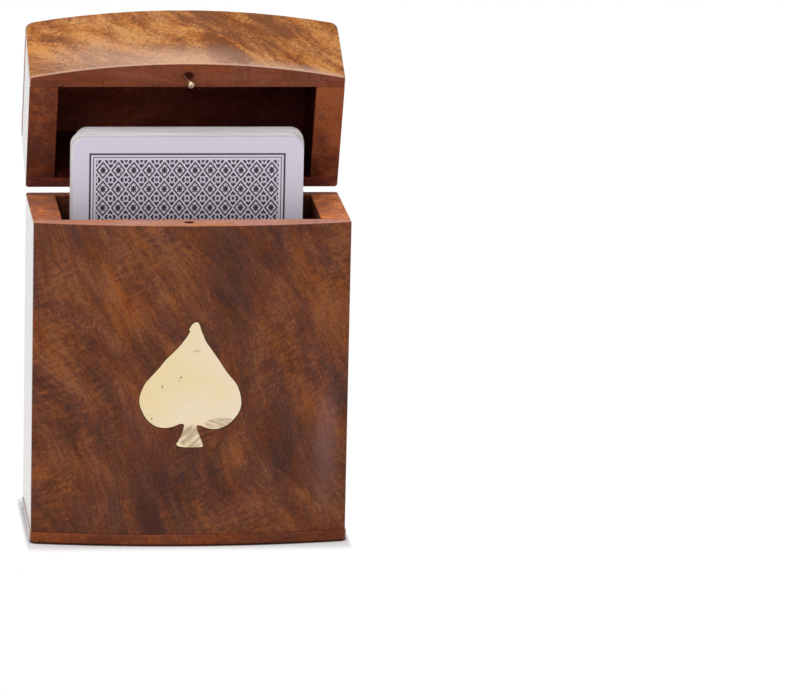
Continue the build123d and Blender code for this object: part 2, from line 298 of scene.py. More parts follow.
def ease_rim(board, height, ease, steps=3):
    """Takes the sharpness off the outer edge of the face at one height."""

    def on_rim(edge):
        flat = all(abs(v.co.z - height) < nothing for v in edge.verts)
        return flat and any(abs(face.normal.z) < 0.5 for face in edge.link_faces)

    pick(board, "EDGE", on_rim)
    bpy.ops.mesh.bevel(offset=ease, segments=steps, profile=0.5)


def cut_with(piece, tool, operation="DIFFERENCE"):
    """Cuts a piece with a solid tool, which is then thrown away."""
    take_up(piece)
    cut = piece.modifiers.new("cut", "BOOLEAN")
    cut.operation = operation
    cut.solver = "EXACT"
    cut.object = tool
    bpy.ops.object.modifier_apply(modifier="cut")
    bpy.data.objects.remove(tool)


def two_woods(piece, main, other, on_other):
    """Gives a piece its wood, and some of its faces another."""
    edit(piece)
    pick(piece, "FACE", on_other)
    piece.data.materials.append(main)
    piece.data.materials.append(other)
    piece.active_material_index = 1
    bpy.ops.object.material_slot_assign()


def rod(x, y, low, high, radius):
    """An upright rod."""
    put_down()
    middle = (x, y, (low + high) / 2)
    bpy.ops.mesh.primitive_cylinder_add(vertices=32, radius=radius, depth=high - low, location=middle)
    made = bpy.context.object
    bpy.ops.object.transform_apply(location=True, rotation=True, scale=True)
    return made


def leaning_rod(x, y, z, low, high, radius, lean):
    """A rod through a point, from low to high along itself, its top turned about Y by the lean."""
    made = rod(0, 0, low, high, radius)
    made.location = (x, y, z)
    made.rotation_euler = (0, lean, 0)
    bpy.ops.object.transform_apply(location=True, rotation=True, scale=True)
    return made


def noise(tree, place, scale, detail, rough=0.5):
    """Noise with about this many lumps to a unit of the place, from 0 to 1."""
    settings = {"Vector": place, "Scale": scale, "Detail": detail, "Roughness": rough}
    return add_node(tree, "ShaderNodeTexNoise", **settings).outputs[0]


def wood_group():
    """Node group: figured hardwood with its grain along Z, from a place in millimetres."""
    group = bpy.data.node_groups.new("figured_wood", "ShaderNodeTree")
    for way, kind, names in (
        ("INPUT", "NodeSocketVector", ("Place",)),
        ("INPUT", "NodeSocketFloat", ("Shade", "Figure", "Speckle")),
        ("INPUT", "NodeSocketColor", ("Dark", "Middle", "Light")),
        ("OUTPUT", "NodeSocketColor", ("Color",)),
        ("OUTPUT", "NodeSocketFloat", ("Roughness", "Relief")),
    ):
        for name in names:
            group.interface.new_socket(name=name, in_out=way, socket_type=kind)
    given = add_node(group, "NodeGroupInput").outputs

    def grain(place, across, along, detail, rough=0.55, seed=0.0):
        """Noise drawn out along the grain, less a half. Its sizes are in millimetres."""
        scaled = add_node(group, "ShaderNodeMapping", Vector=place, Location=(seed, seed, seed),
                          Scale=(1 / across, 1 / across, 1 / along)).outputs[0]
        return maths(group, "SUBTRACT", noise(group, scaled, 1.0, detail, rough), 0.5)

    def sum_of(start, *terms):
        """The start, and each value times its weight."""
        for value, weight in terms:
            start = maths(group, "MULTIPLY_ADD", value, weight, start)
        return start

    bend_reach = (18, 18, 8)
    bend = add_node(group, "ShaderNodeTexNoise", Vector=given["Place"], Scale=0.03, Detail=1.0).outputs[1]
    bend = vector_maths(group, "SUBTRACT", bend, (0.5, 0.5, 0.5))
    bent = vector_maths(group, "MULTIPLY_ADD", bend, bend_reach, given["Place"])

    mottle = grain(bent, 9.0, 24.0, 3.0)
    streak = grain(bent, 2.2, 12.0, 3.0, 0.6, 7.0)
    fibre = grain(bent, 0.45, 5.0, 3.0, 0.7, 13.0)
    speckle = grain(bent, 0.6, 0.85, 2.0, 0.6, 57.0)
    ripple = grain(bent, 4.0, 0.8, 1.0, 0.5, 21.0)
    ripple_zone = slope(group, grain(given["Place"], 20.0, 20.0, 1.0, 0.5, 31.0), -0.04, 0.08)
    pore = slope(group, grain(bent, 0.22, 1.8, 1.0, 0.5, 43.0), 0.13, 0.22)
    hue = grain(bent, 4.0, 14.0, 3.0, 0.6, 71.0)

    wave = maths(group, "MULTIPLY", ripple_zone, ripple)
    figure = sum_of(mottle, (streak, 0.68))
    tone = sum_of(given["Shade"], (figure, given["Figure"]), (fibre, 0.42), (speckle, given["Speckle"]),
                  (wave, 0.55))

    colour = mixed(group, slope(group, tone, -0.32, 0.0), given["Dark"], given["Middle"])
    colour = mixed(group, slope(group, tone, 0.0, 0.32), colour, given["Light"])
    red, green, blue = (sum_of(1.0, (hue, weight)) for weight in (-0.15, 0.45, 1.9))
    tint = add_node(group, "ShaderNodeCombineXYZ", X=red, Y=green, Z=blue).outputs[0]
    colour = mixed(group, 1.0, colour, tint, "MULTIPLY")
    colour = mixed(group, maths(group, "MULTIPLY", pore, 0.55), colour, (0.25, 0.2, 0.2), "MULTIPLY")
    shine = sum_of(0.28, (fibre, 0.3), (pore, 0.25))
    relief = sum_of(fibre, (pore, -0.7), (wave, 0.8))
    add_node(group, "NodeGroupOutput", i0=colour, i1=shine, i2=relief)
    return group


figured_wood = wood_group()


def millimetres(tree, closed=False):
    """Object coordinates in millimetres. closed gives the places of the open lid as they are when shut."""
    place = add_node(tree, "ShaderNodeTexCoord").outputs["Object"]
    if closed:
        back = swing_shut.to_translation()
        turn = (open_turn, 0, 0)
        place = add_node(tree, "ShaderNodeMapping", Vector=place, Location=back, Rotation=turn).outputs[0]
    return add_node(tree, "ShaderNodeMapping", Vector=place, Scale=(1000, 1000, 1000)).outputs[0]


def soft_spot(tree, place, centre, radii, strength):
    """A soft-edged patch: strength at its centre, falling to nothing at its radii, in millimetres."""
    off = vector_maths(tree, "DIVIDE", vector_maths(tree, "SUBTRACT", place, centre), radii)
    return slope(tree, vector_maths(tree, "LENGTH", off), 0.0, 1.0, strength, 0.0, soft=True)


def new_material(name):
    """A material with nodes, its node tree and its shader."""
    made = bpy.data.materials.new(name)
    made.use_nodes = True
    return made, made.node_tree, made.node_tree.nodes["Principled BSDF"]


def dress(tree, shader, colour, roughness, height, strength, distance=0.0001):
    """Gives a shader its colour, its roughness and a slight relief."""
    relief = add_node(tree, "ShaderNodeBump", Height=height, Strength=strength, Distance=distance)
    for socket, value in (("Base Color", colour), ("Roughness", roughness), ("Normal", relief.outputs[0])):
        tree.links.new(value, shader.inputs[socket])


def wood(name, dark, middle, light, lean=0.0, shift=(0, 0, 0), upright=True, lid=False, spots=(),
         figure=1.0, speckle=0.7, rim=None, inside=None, painted_sheen=(), coat=0.0, glaze=0.0, rough=0.0):
    """Varnished wood. lean tilts its grain, and shift takes it from another part of the plank. Spots
    are soft darker or lighter patches, and painted_sheen is pale patches of painted sheen that stand in
    for reflections in the varnish. rim is (where it starts, where it is full, tint) for a band at one
    height: a sanded rim, and on the base plate painted shade along its foot. inside is the tints of
    the inner faces, left and right, which darken them; on the lid they are painted shade. coat is the
    gloss of the outer side faces, and glaze that of the others."""
    made, tree, shader = new_material(name)
    plain = millimetres(tree, closed=lid)
    turn = (0, lean if upright else lean + math.radians(90), 0)
    place = add_node(tree, "ShaderNodeMapping", Vector=plain, Location=shift, Rotation=turn).outputs[0]
    shade = 0.0
    for centre, radii, strength in spots:
        shade = maths(tree, "ADD", soft_spot(tree, plain, centre, radii, strength), shade)
    grain = add_node(tree, "ShaderNodeGroup", {"node_tree": figured_wood}, Place=place, Shade=shade,
                     Figure=figure, Speckle=speckle, Dark=(*dark, 1), Middle=(*middle, 1),
                     Light=(*light, 1)).outputs
    colour = grain["Color"]
    roughness = maths(tree, "ADD", grain["Roughness"], rough)
    # Painted sheen: pale patches mixed over the colour, standing in for reflections in the varnish.
    for centre, radii, strength, pale in painted_sheen:
        colour = mixed(tree, soft_spot(tree, plain, centre, radii, strength), colour, pale)
    x, y, z = add_node(tree, "ShaderNodeSeparateXYZ", Vector=plain).outputs
    sideways = maths(tree, "ABSOLUTE", x)
    gloss = slope(tree, sideways, side_face - 0.1, side_face, glaze, coat)
    # A band at one height gets its own tint: the sanded rim, and on the base plate painted shade along its
    # foot.
    if rim:
        start_z, full_z, tint = rim
        on_rim = slope(tree, z, start_z, full_z, soft=True)
        colour = mixed(tree, on_rim, colour, tint, "MULTIPLY")
        roughness = maths(tree, "MULTIPLY_ADD", on_rim, 0.35, roughness)
        gloss = maths(tree, "MULTIPLY", gloss, maths(tree, "SUBTRACT", 1.0, on_rim))
    # Faces inside the cavity are darkened by the inside tints, from left to right: on the lid this is
    # painted shade.
    if inside:
        along = maths(tree, "ABSOLUTE", maths(tree, "SUBTRACT", y, cavity_middle))
        depth = maths(tree, "MAXIMUM", maths(tree, "SUBTRACT", sideways, cavity_half[0]),
                      maths(tree, "SUBTRACT", along, cavity_half[1]))
        depth = maths(tree, "MAXIMUM", depth, maths(tree, "SUBTRACT", z, cavity_top))
        tint = mixed(tree, slope(tree, x, *inside_blend), *inside)
        colour = mixed(tree, slope(tree, depth, 0.25, 0.05), colour, tint, "MULTIPLY")
    dress(tree, shader, colour, roughness, grain["Relief"], 0.1)
    tree.links.new(gloss, shader.inputs["Coat Weight"])
    shader.inputs["IOR"].default_value = 1.2
    shader.inputs["Coat Roughness"].default_value = 0.12
    return made


cavity_half = (32.2, 13.8696)
cavity_middle = -0.1
cavity_top = 102.0
side_face = 39.4
inside_blend = (-10.0, 28.0)
front_colours = ((0.078, 0.028, 0.019), (0.163, 0.049, 0.023), (0.310, 0.098, 0.033))
side_coat = 1.0
# The inner faces of the box's boards are made a little darker.
inner_tint = ((0.85, 0.8, 0.8), (0.85, 0.8, 0.8))
grain_lean = math.radians(25)
front_spots = (
    ((-24, -20, 64), (26, 40, 24), 0.20),
    ((-31, -20, 42), (12, 40, 18), 0.12),
    ((8, -20, 64), (13, 40, 24), -0.24),
    ((-9, -20, 50), (8, 40, 12), -0.14),
    ((-3, -20, 15), (20, 40, 17), -0.30),
    ((-30.5, -20, 33), (4, 40, 11), -0.18),
    ((23.5, -20, 26), (6, 40, 17), -0.18),
    ((10.5, -20, 24.5), (8, 40, 8), 0.12),
    ((26, -20, 62), (20, 40, 24), 0.13),
    ((28, -20, 8), (14, 40, 12), 0.08),
    ((-24, -20, 8), (14, 40, 14), 0.04),
)
# Painted sheen: a pale purplish streak near the right end of the front, standing in for a reflection in the
# varnish.
front_painted_sheen = (
    ((34, -20, 26), (5, 40, 24), 0.30, (0.36, 0.20, 0.19)),
)
front_wood = wood("front_wood", *front_colours, lean=grain_lean, spots=front_spots, painted_sheen=front_painted_sheen,
                  coat=side_coat, inside=inner_tint)
rim_wood = wood("rim_wood", (0.42, 0.165, 0.10), (0.54, 0.235, 0.152), (0.64, 0.31, 0.21),
                shift=(40, 60, 0), upright=False, rough=0.3)

front = bowed_board(half_width, front_high.y, corner_y, front_low.y, front_low.z, rim_z)
round_front_corners(front, half_width, corner_y, corner_round)
ease_rim(front, rim_z, rim_ease)
hole_radius = 0.001177
hole_depth = 0.007
latch_x = -0.00105
latch_lean = math.radians(-21)
hole_y = -0.0176
cut_with(front, leaning_rod(latch_x, hole_y, rim_z, -hole_depth, 0.002, hole_radius, latch_lean))

# ---- Brass spade ----
# A flat spade sawn by hand from thin sheet brass, glued in a pocket in the front board and then
# sanded flush with its bow. The point leans right, and the right lobe hangs a little lower.
spade_width = 0.0257
spade_height = 0.0324
spade_middle = -0.00028
spade_foot = 0.0253
inlay_thickness = 0.0012
inlay_trim = 0.986
inlay_margin = 0.001
spade_line = (
    (0.069, 1.000, "VECTOR"), (0.017, 0.987, "AUTO"), (-0.025, 0.961, "VECTOR"), (-0.047, 0.948, "VECTOR"),
    (-0.050, 0.938, "VECTOR"), (-0.029, 0.930, "VECTOR"), (-0.091, 0.885, "AUTO"), (-0.176, 0.839, "AUTO"),
    (-0.278, 0.790, "AUTO"), (-0.397, 0.741, "AUTO"), (-0.516, 0.692, "AUTO"), (-0.617, 0.639, "AUTO"),
    (-0.719, 0.593, "AUTO"), (-0.821, 0.547, "AUTO"), (-0.898, 0.508, "AUTO"), (-0.956, 0.459, "AUTO"),
    (-0.993, 0.417, "AUTO"), (-1.005, 0.375, "AUTO"), (-0.996, 0.339, "AUTO"), (-0.958, 0.297, "AUTO"),
    (-0.887, 0.241, "AUTO"), (-0.799, 0.202, "AUTO"), (-0.702, 0.174, "AUTO"), (-0.598, 0.160, "AUTO"),
    (-0.477, 0.156, "AUTO"), (-0.339, 0.167, "AUTO"), (-0.227, 0.185, "AUTO"), (-0.175, 0.190, "AUTO"),
    (-0.118, 0.182, "VECTOR"), (-0.147, 0.128, "AUTO"), (-0.188, 0.086, "AUTO"), (-0.247, 0.044, "VECTOR"),
    (-0.273, 0.026, "VECTOR"), (-0.246, 0.011, "VECTOR"), (-0.194, 0.005, "AUTO"), (-0.055, 0.000, "AUTO"),
    (0.222, 0.001, "VECTOR"), (0.251, 0.008, "VECTOR"), (0.241, 0.033, "VECTOR"), (0.174, 0.100, "AUTO"),
    (0.133, 0.142, "AUTO"), (0.121, 0.176, "VECTOR"), (0.197, 0.174, "AUTO"), (0.284, 0.160, "AUTO"),
    (0.397, 0.147, "AUTO"), (0.527, 0.146, "AUTO"), (0.648, 0.160, "AUTO"), (0.768, 0.188, "AUTO"),
    (0.878, 0.234, "AUTO"), (0.946, 0.273, "AUTO"), (0.987, 0.315, "AUTO"), (0.996, 0.357, "AUTO"),
    (0.980, 0.410, "AUTO"), (0.956, 0.445, "AUTO"), (0.902, 0.498, "AUTO"), (0.840, 0.533, "AUTO"),
    (0.770, 0.565, "AUTO"), (0.681, 0.611, "AUTO"), (0.619, 0.649, "AUTO"), (0.539, 0.699, "AUTO"),
    (0.451, 0.748, "AUTO"), (0.371, 0.794, "AUTO"), (0.291, 0.839, "AUTO"), (0.238, 0.885, "AUTO"),
    (0.184, 0.938, "AUTO"), (0.156, 0.973, "AUTO"), (0.121, 1.000, "VECTOR"),
)


def spade_prism(trim):
    """The spade's outline as a flat curve, thickened right through the front; trim makes it smaller."""
    line = bpy.data.curves.new("spade_line", "CURVE")
    line.dimensions = "2D"
    line.fill_mode = "BOTH"
    line.resolution_u = 6
    line.extrude = 0.004
    spline = line.splines.new("BEZIER")
    spline.use_cyclic_u = True
    spline.bezier_points.add(len(spade_line) - 1)
    for point, (across, up, handle) in zip(spline.bezier_points, spade_line):
        point.co = (across * spade_width / 2 * trim, (up - 0.5) * spade_height * trim, 0)
        point.handle_left_type = point.handle_right_type = handle
    prism = bpy.data.objects.new("spade_prism", line)
    bpy.context.collection.objects.link(prism)
    pocket_floor = front_low.y + inlay_thickness
    prism.location = (spade_middle, pocket_floor - line.extrude, spade_foot + spade_height / 2)
    prism.rotation_euler = (math.radians(90), 0, 0)
    take_up(prism)
    bpy.ops.object.convert(target="MESH")
    prism = bpy.context.object
    bpy.ops.object.transform_apply(location=True, rotation=True, scale=True)
    edit(prism)
    bpy.ops.mesh.select_all(action="SELECT")
    bpy.ops.mesh.remove_doubles(threshold=1e-6)
    bpy.ops.mesh.normals_make_consistent(inside=False)
    bpy.ops.object.mode_set(mode="OBJECT")
    return prism


cut_with(front, spade_prism(1.0))
two_woods(front, front_wood, rim_wood,
          lambda face: face.normal.z > 0.3 and face.calc_center_median().z > rim_z - rim_ease)
finish_piece(front, "front_board", "box", "varnished_wood", "body_front_panel")

front_bow = corner_y - front_low.y
bow_radius = (half_width ** 2 + front_bow ** 2) / (2 * front_bow)
slab_half = 0.0145
slab_corner = front_low.y + bow_radius - math.sqrt(bow_radius ** 2 - slab_half ** 2)
slab_ends = (spade_foot - inlay_margin, spade_foot + spade_height + inlay_margin)
spade = bowed_board(slab_half, front_low.y + inlay_thickness, slab_corner, front_low.y, *slab_ends, 30)
pick(spade, "EDGE", lambda e: abs(e.verts[0].co.z - e.verts[1].co.z) > 0.01)
bpy.ops.mesh.subdivide(number_cuts=34)
cut_with(spade, spade_prism(inlay_trim), "INTERSECT")
edit(spade)
bpy.ops.mesh.select_all(action="SELECT")
bpy.ops.mesh.remove_doubles(threshold=5e-6)
bpy.ops.mesh.dissolve_degenerate(threshold=5e-6)
bpy.ops.mesh.normals_make_consistent(inside=False)


def brass(name, dull, bright, marks=()):
    """Brass with faint stains and fine scratches. marks are (centre, radii, angle): a small dark pit where
    the angle is None, or else a place creased by the saw and the file, its lines turned by that angle."""
    made, tree, shader = new_material(name)
    shader.inputs["Metallic"].default_value = 1.0
    plain = millimetres(tree)

    def lines(size, angle, detail):
        """Noise drawn out into lines, which are turned by an angle. Its sizes are in millimetres."""
        turned = add_node(tree, "ShaderNodeMapping", {"vector_type": "TEXTURE"}, Vector=plain, Scale=size,
                          Rotation=(0, angle, 0)).outputs[0]
        return noise(tree, turned, 1.0, detail)

    across = add_node(tree, "ShaderNodeSeparateXYZ", Vector=plain).outputs["X"]
    shade = maths(tree, "MULTIPLY_ADD", across, 0.02, noise(tree, plain, 0.12, 4.0))
    colour = mixed(tree, slope(tree, shade, 0.2, 0.75), dull, bright)
    pitted = 0.0
    creased = 0.0
    for centre, radii, angle in marks:
        spot = soft_spot(tree, plain, centre, radii, 1.0)
        if angle is None:
            pitted = maths(tree, "MAXIMUM", pitted, spot)
            continue
        folds = slope(tree, lines((4.5, 4.5, 0.75), math.radians(angle), 2.0), 0.62, 0.40, 0.12)
        folds = maths(tree, "MULTIPLY", slope(tree, spot, 0.1, 0.35, soft=True), folds)
        creased = maths(tree, "MAXIMUM", creased, folds)
    colour = mixed(tree, maths(tree, "MULTIPLY", creased, 0.75), colour, creased_brass)
    colour = mixed(tree, pitted, colour, pit_brown)
    scratch = lines((1.2, 1.2, 0.2), 0.5, 3.0)
    roughness = maths(tree, "MULTIPLY_ADD", scratch, 0.2, maths(tree, "MULTIPLY_ADD", pitted, 0.4, 0.2))
    sunk = maths(tree, "MULTIPLY_ADD", creased, -0.6, maths(tree, "MULTIPLY", pitted, -1.0))
    dress(tree, shader, colour, roughness, maths(tree, "MULTIPLY_ADD", scratch, 0.05, sunk), 0.35)
    return made


creased_brass = (0.38, 0.27, 0.155)
pit_brown = (0.05, 0.03, 0.015)
spade_marks = (
    ((-2.76, -21, 43.4), (0.40, 6, 0.40), None), ((-9.9, -21, 32.85), (0.38, 6, 0.36), None),
    ((-3.1, -21, 42.5), (0.3, 6, 0.22), None), ((-10.7, -21, 33.6), (0.2, 6, 0.2), None),
    ((7.4, -21, 31.2), (6.0, 9, 2.6), 18), ((0.0, -21, 28.2), (4.4, 9, 4.4), -44),
    ((1.0, -21, 50.1), (1.3, 9, 0.42), 12), ((-7.4, -21, 41.0), (0.36, 9, 0.7), -70),
)
spade_brass = brass("spade_brass", (0.85, 0.67, 0.38), (0.87, 0.73, 0.54), spade_marks)
aged_brass = brass("aged_brass", (0.40, 0.28, 0.15), (0.62, 0.46, 0.28))
spade.data.materials.append(spade_brass)
finish_piece(spade, "brass_spade", "box", "polished_brass", "spade_inlay")

# ---- Side, back and floor boards of the box ----
# Four more pieces of the same hardwood: the sides are thick and butted between the front and
# the back, and a block between them makes the floor that the cards stand on.
side_wood = wood("side_wood", *front_colours, lean=math.radians(5), shift=(300, 0, 40),
                 spots=(((36, 0, 82), (14, 60, 5), 0.16),), rim=(81.5, 81.8, (2.5, 2.55, 2.5)),
                 inside=inner_tint, coat=side_coat)
back_wood = wood("back_wood", *front_colours, shift=(500, 90, 0), upright=False,
                 rim=(81.5, 81.8, (2.0, 2.0, 2.0)), inside=inner_tint, coat=side_coat)
floor_wood = wood("floor_wood", *front_colours, shift=(700, 90, 0), upright=False, rough=0.3)


def paint_nodes(**materials):
    """Gives pieces that keep the meshes they came with their own material, by name."""
    for node, material in materials.items():
        board = frame["nodes"][node]
        board.data.materials.clear()
        board.data.materials.append(material)


paint_nodes(body_left_panel=side_wood, body_right_panel=side_wood, body_rear_panel=back_wood,
            floor_block=floor_wood)

# ---- Base plate ----
# A thin plate of the same wood with the box's own plan, a little larger all round, with its
# edges rounded over by hand. The walls are glued down on it.
plate_strips = 11
base_proud = (0.0003, 0.00045)
base_bow = 0.0038
base_round = 0.0022
base_eases = (0.0006, 0.0003)
# Its rim band is painted shade: the plate's lowest millimetre, along its foot, is darkened to about a
# third.
plate_wood = wood("plate_wood", (0.105, 0.029, 0.013), (0.178, 0.042, 0.0145), (0.290, 0.076, 0.023),
                  shift=(900, 20, 0), upright=False, rim=(0.85, 0.5, (0.30, 0.30, 0.34)), coat=side_coat,
                  glaze=0.03)


def bowed_plate(low, high, proud, bulge, rounding, eases, foot=1.0):
    """A thin plate with about the box's plan, standing proud at its sides and in front, with rounded
    corners and its lower and upper edge eased. foot draws its lower face in towards the hinges."""
    half = half_width + proud[0]
    bow = front_low.y - proud[1]
    plate = bowed_board(half, rear_high.y + proud[0], bow + bulge, bow, low, high, plate_strips)

    def at_corner(edge):
        upright = abs(edge.verts[0].co.z - edge.verts[1].co.z) > 0.001
        return upright and all(abs(abs(v.co.x) - half) < nothing for v in edge.verts)

    pick(plate, "EDGE", at_corner)
    bpy.ops.mesh.bevel(offset=rounding, offset_type="WIDTH", segments=6, profile=0.5)
    for height, ease in zip((low, high), eases):
        ease_rim(plate, height, ease, 5)
    pick(plate, "VERT", lambda v: v.co.z < low + eases[0] + nothing)
    bpy.ops.transform.resize(value=(1, foot, 1), center_override=(0, rear_high.y, 0))
    return plate


base_low, base_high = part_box("base_plate")
base = bowed_plate(base_low.z, base_high.z, base_proud, base_bow, base_round, base_eases)
base.data.materials.append(plate_wood)
finish_piece(base, "base_board", "box", "plate_wood", "base_plate")

# ---- Lid ----
# A cap of four boards and a plate. Its front and top are of a lighter wood with more figure
# than the box's. It is modelled shut, then swung open about the hinges.
lid_rim_z = 0.0822
lid_ceiling_z = 0.102
lid_top_z = 0.105
lid_top_proud = (0.0001, 0.00068)
lid_top_bow = 0.0041
lid_top_round = 0.0030
lid_top_eases = (0.00012, 0.0008)
lid_top_foot = 0.983
lid_colours = ((0.22, 0.068, 0.018), (0.43, 0.150, 0.036), (0.65, 0.290, 0.088))
lid_side_colours = ((0.10, 0.034, 0.019), (0.21, 0.066, 0.026), (0.38, 0.125, 0.040))
lid_rim = (82.6, 82.3, (1.03, 0.83, 0.88))
# Painted shade on the inner faces of the lid, darker on the right.
lid_inner_shade = ((0.38, 0.21, 0.23), (0.24, 0.12, 0.16))
# The pale colour of the painted sheen on the lid's front.
sheen_pale = (0.72, 0.52, 0.42)
# The last spot is painted shade: the wood darkened round the countersink in the lid's rim.
lid_spots = (
    ((22, -20, 90), (14, 40, 9), 0.14), ((34, -20, 95), (9, 40, 12), -0.10),
    ((4, -20, 101.5), (26, 40, 5), -0.14), ((6, -20, 95.5), (2.6, 40, 3.4), -0.20),
    ((9, -20, 92), (2.6, 40, 3.4), -0.22), ((12, -20, 88), (2.6, 40, 3.4), -0.18),
    ((-33, -20, 97), (9, 40, 7), -0.24), ((0, -17.6, 82.2), (1.9, 1.9, 2.5), -1.0),
)
# Painted sheen on the lid's front: pale hazy patches near the rim standing in for reflections in its
# varnish, and last a painted highlight along its eased lower edge.
lid_painted_sheen = (
    ((-24, -20, 88), (22, 40, 9), 0.25, sheen_pale), ((-14, -20, 84), (26, 40, 8), 0.26, sheen_pale),
    ((1, -20, 84), (24, 40, 9), 0.42, sheen_pale), ((26, -20, 82.2), (20, 40, 4), 0.42, sheen_pale),
    ((0, -20, 82.1), (300, 60, 1.1), 0.75, (0.74, 0.47, 0.37)),
)
lid_front_wood = wood("lid_front_wood", *lid_colours, lean=math.radians(58), lid=True, spots=lid_spots,
                      painted_sheen=lid_painted_sheen, figure=1.7, speckle=1.1, coat=side_coat, inside=lid_inner_shade)
# Its spot is painted shade in and round the countersink in the rim.
lid_rim_wood = wood("lid_rim_wood", (0.16, 0.040, 0.018), (0.252, 0.065, 0.029), (0.34, 0.098, 0.044),
                    shift=(40, 60, 0), spots=(((0.1, -17.45, 82.6), (1.9, 1.8, 3.5), -1.6),), upright=False,
                    lid=True, rough=0.2)
lid_side_wood = wood("lid_side_wood", *lid_side_colours, lean=math.radians(5), shift=(300, 0, 40), lid=True,
                     spots=(((0, 20, 82), (300, 24, 30), -0.35), ((36, -6, 82.2), (14, 30, 4), 0.34)),
                     rim=lid_rim, inside=lid_inner_shade, coat=side_coat)
# Its inside tints are painted shade on the lid's inner face, darker on the right.
lid_back_wood = wood("lid_back_wood", *front_colours, shift=(500, 90, 0), upright=False, lid=True,
                     rim=(82.6, 82.3, (1.3, 0.9, 1.1)), inside=((0.38, 0.19, 0.28), (0.20, 0.09, 0.18)),
                     coat=side_coat)
# Its inside tints are painted shade on the underside of the lid's top, darker on the right.
lid_plate_wood = wood("lid_plate_wood", (0.20, 0.062, 0.022), (0.36, 0.118, 0.040), (0.52, 0.19, 0.065),
                      shift=(900, 20, 0), upright=False, lid=True,
                      inside=((0.62, 0.42, 0.68), (0.28, 0.17, 0.40)), coat=side_coat, glaze=0.5)


def finish_lid_piece(piece, name, slot, node):
    """Swings a piece that was modelled shut to where the lid stands open, and finishes it."""
    put_down()
    piece.matrix_world = swing_open @ piece.matrix_world
    finish_piece(piece, name, "lid", slot, node)


latch_y = -0.01745
countersink_x = 0.0001
countersink_radius = 0.0012
countersink_depth = 0.0016
rim_margin = 0.0001
lid_front = bowed_board(half_width, front_high.y, corner_y, front_low.y, lid_rim_z, lid_ceiling_z)
round_front_corners(lid_front, half_width, corner_y, corner_round)
ease_rim(lid_front, lid_rim_z, rim_ease)
sink_ends = (lid_rim_z - 0.001, lid_rim_z + countersink_depth)
cut_with(lid_front, rod(countersink_x, latch_y, *sink_ends, countersink_radius))


def on_lid_rim(face):
    """The sanded rim, and the walls and floor of the countersink in it."""
    middle = face.calc_center_median()
    off_latch = math.hypot(middle.x - countersink_x, middle.y - latch_y)
    above_rim = middle.z - lid_rim_z - rim_margin
    return above_rim < 0 or (off_latch < countersink_radius + rim_margin and above_rim < countersink_depth)


two_woods(lid_front, lid_front_wood, lid_rim_wood, on_lid_rim)
finish_lid_piece(lid_front, "lid_front_board", "varnished_wood", "lid_front_panel")

lid_top = bowed_plate(lid_ceiling_z, lid_top_z, lid_top_proud, lid_top_bow, lid_top_round, lid_top_eases,
                      lid_top_foot)
two_woods(lid_top, lid_plate_wood, lid_front_wood,
          lambda face: face.normal.y < -0.5 and face.normal.z < 0.6)
finish_lid_piece(lid_top, "lid_top_board", "plate_wood", "lid_top_plate")

paint_nodes(lid_left_panel=lid_side_wood, lid_right_panel=lid_side_wood, lid_rear_panel=lid_back_wood)

# ---- Latch pin ----
# A short brass nail with a thicker rounded end, driven into the lid's front edge, crooked. It
# drops into the hole in the box's rim and keeps the lid from sliding sideways.
pin_seat = 0.004
pin_neck = -0.0022
pin_shoulder = -0.0028
pin_reach = -0.0047
pin_shank = 0.00048
pin_head = 0.00092
pin_end_round = 0.0005
pin = rod(0, 0, pin_reach, pin_seat, pin_shank)
edit(pin)
for height, swell in ((pin_neck, 1.0), (pin_shoulder, 1.5), (pin_reach, pin_head / pin_shank)):
    if height > pin_reach:
        bpy.ops.mesh.select_all(action="SELECT")
        bpy.ops.mesh.bisect(plane_co=(0, 0, height), plane_no=(0, 0, 1))
    pick(pin, "VERT", lambda v: abs(v.co.z - height) < nothing)
    bpy.ops.transform.resize(value=(swell, swell, 1), center_override=(0, 0, height))
pick(pin, "EDGE", lambda e: all(abs(v.co.z - pin_reach) < nothing for v in e.verts))
bpy.ops.mesh.bevel(offset=pin_end_round, segments=5, profile=0.5)
put_down()
pin.location = (latch_x, latch_y, lid_rim_z)
pin.rotation_euler = (0, latch_lean, 0)
bpy.context.view_layer.update()
# A small dark spot, sunk a little, on the nail's end.
pin_end_spot = 1000 * (swing_open @ pin.matrix_world @ Vector((-0.0003, 0.0001, pin_reach)))
pin_marks = ((tuple(pin_end_spot), (0.42, 0.42, 0.42), None),)
pin_brass = brass("pin_brass", (0.42, 0.30, 0.18), (0.66, 0.52, 0.36), pin_marks)
pin.data.materials.append(pin_brass)
finish_lid_piece(pin, "latch_nail", "polished_brass", "latch_pin")

# ---- Hinges ----
# Two small brass butt hinges let into the back, each leaf held by two nails, with a lip on each
# leaf behind the knuckles. The lips meet and stop the lid where it stands open.
for fitting in frame["nodes"]:
    if fitting.startswith("hinge") or "nails" in fitting:
        paint_nodes(**{fitting: aged_brass})

# ---- Deck of cards ----
# A full deck stands in the box: the front card shows its printed back, and the rest, in two
# packets that have slipped sideways, show only their white edges.
card_low, card_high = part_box("deck_front_card")
card_middle = (card_low + card_high) / 2
card_half = (card_high.x - card_low.x) / 2
card_height = card_high.z - card_low.z
card_thickness = card_high.y - card_low.y
card_corner = 0.0032
card_gap = 0.00002
front_slip = 0.00085
print_slip = -0.0003
card_drop = 0.00038
cool_paper = ((0.78, 0.75, 0.885), (0.84, 0.81, 0.945))
cut_edges = ((0.62, 0.60, 0.63), (0.95, 0.93, 0.93))
ink_colour = (0.052, 0.042, 0.058)
# Painted shade in the deck's cut edges: two darker bands through its depth, just behind the front card and
# where the rear packet starts.
packet_shade_bands = ((-5.6, 1.3, 0.8), (0.25, 0.7, 0.5))
packets = (
    ("deck_middle_cards", "middle_cards", 27, (-0.0001, 0.0001), 0.0),
    ("deck_rear_cards", "rear_cards", 26, (0.0003, 0.0007), 0.0002),
)
random.seed(7)


